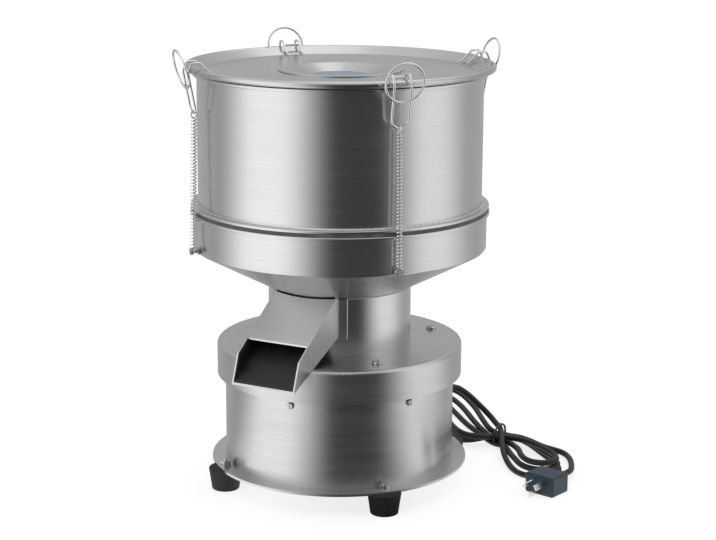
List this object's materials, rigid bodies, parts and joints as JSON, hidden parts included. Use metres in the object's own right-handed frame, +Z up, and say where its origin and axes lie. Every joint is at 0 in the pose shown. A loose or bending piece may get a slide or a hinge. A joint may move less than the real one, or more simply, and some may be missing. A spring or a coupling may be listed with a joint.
{
  "type": "vibrating sieve",
  "caption": "Bench-top vibrating sieve: spring-mounted steel barrel with a clipped lid and feed dish, a discharge chute and a round base housing the motor.",
  "frame": {"origin": "on the floor under the axis of the drum", "axes": "+Z up along the drum's axis, -Y towards the mouth of the discharge chute"},
  "size_m": [0.4045, 0.472, 0.4715],
  "materials": {
    "rubber": "matt",
    "zinc": "zinc plated",
    "steel": "polished stainless",
    "mesh": "woven",
    "spring_wire": "bright wire",
    "motor_body": "cast",
    "core": "machined",
    "copper": "enamelled wire",
    "liner": "matt",
    "window": "satin",
    "black_plastic": "satin",
    "cord": "satin",
    "plug": "satin",
    "brass": "bright",
    "capacitor": "satin",
    "terminal": "satin"
  },
  "bodies": {
    "base": {"rubber_feet": "rubber", "foot_bolts": "zinc", "foot_nuts": "zinc", "base_plate": "steel", "housing": "steel", "support_ring": "steel", "housing_screws": "zinc", "spring_screws": "zinc", "suspension_springs": "spring_wire", "switch_body": "black_plastic", "run_capacitor": "capacitor", "terminal_block": "terminal", "cord_gland": "black_plastic", "supply_cord": "cord", "cord_hank": "cord", "cord_tie": "black_plastic", "plug_tail": "cord", "mains_plug": "plug", "plug_pins": "brass"},
    "switch_rocker": {"switch_rocker": "black_plastic"},
    "vibrating_frame": {"vibrating_cap": "steel", "cap_screws": "zinc", "motor_housing": "motor_body", "motor_end_cover": "motor_body", "motor_bolts": "zinc", "stator_core": "core", "stator_winding": "copper", "upper_bearing": "core", "lower_bearing": "core", "lower_chamber": "steel", "discharge_floor": "steel", "discharge_chute": "steel", "chute_liner": "liner", "spring_studs": "zinc", "sieve_gasket": "rubber", "sieve_ring": "steel", "sieve_mesh": "mesh", "barrel": "steel", "lid_gasket": "rubber", "lid": "steel", "clip_1_spring": "spring_wire", "clip_2_spring": "spring_wire", "clip_3_spring": "spring_wire", "clip_4_spring": "spring_wire"},
    "motor_rotor": {"motor_shaft": "core", "rotor_core": "core", "upper_weight": "core", "lower_weight": "core", "weight_bolts": "zinc"},
    "feed_cover": {"feed_cover": "steel", "feed_window": "window"},
    "clip_1": {"clip_1_hook": "spring_wire", "clip_1_ring": "spring_wire"},
    "clip_2": {"clip_2_hook": "spring_wire", "clip_2_ring": "spring_wire"},
    "clip_3": {"clip_3_hook": "spring_wire", "clip_3_ring": "spring_wire"},
    "clip_4": {"clip_4_hook": "spring_wire", "clip_4_ring": "spring_wire"}
  },
  "joints": [
    {"name": "body_bounce", "type": "slide", "parent": "base", "child": "vibrating_frame", "axis": [0, 0, 1], "range_m": [-0.003, 0.003], "stiffness_N_per_m": 20000, "springref_m": 0.0045, "deforming": ["suspension_springs"]},
    {"name": "rotor_spin", "type": "hinge", "parent": "vibrating_frame", "child": "motor_rotor", "pos_m": [0, 0, 0.1107], "axis": [0, 0, 1], "continuous": true},
    {"name": "feed_cover_lift", "type": "slide", "parent": "vibrating_frame", "child": "feed_cover", "axis": [0, 0, 1], "range_m": [0, 0.06]},
    {"name": "switch_toggle", "type": "hinge", "parent": "base", "child": "switch_rocker", "pos_m": [0, 0.1203, 0.078], "axis": [1, 0, 0], "range_deg": [0, 16]},
    {"name": "clip_1_release", "type": "slide", "parent": "vibrating_frame", "child": "clip_1", "axis": [0.4545, 0.5417, 0.7071], "range_m": [0, 0.035], "stiffness_N_per_m": 500, "springref_m": -0.02, "deforming": ["clip_1_spring"]},
    {"name": "clip_2_release", "type": "slide", "parent": "vibrating_frame", "child": "clip_2", "axis": [-0.5417, 0.4545, 0.7071], "range_m": [0, 0.035], "stiffness_N_per_m": 500, "springref_m": -0.02, "deforming": ["clip_2_spring"]},
    {"name": "clip_3_release", "type": "slide", "parent": "vibrating_frame", "child": "clip_3", "axis": [-0.4545, -0.5417, 0.7071], "range_m": [0, 0.035], "stiffness_N_per_m": 500, "springref_m": -0.02, "deforming": ["clip_3_spring"]},
    {"name": "clip_4_release", "type": "slide", "parent": "vibrating_frame", "child": "clip_4", "axis": [0.5417, -0.4545, 0.7071], "range_m": [0, 0.035], "stiffness_N_per_m": 500, "springref_m": -0.02, "deforming": ["clip_4_spring"]}
  ]
}
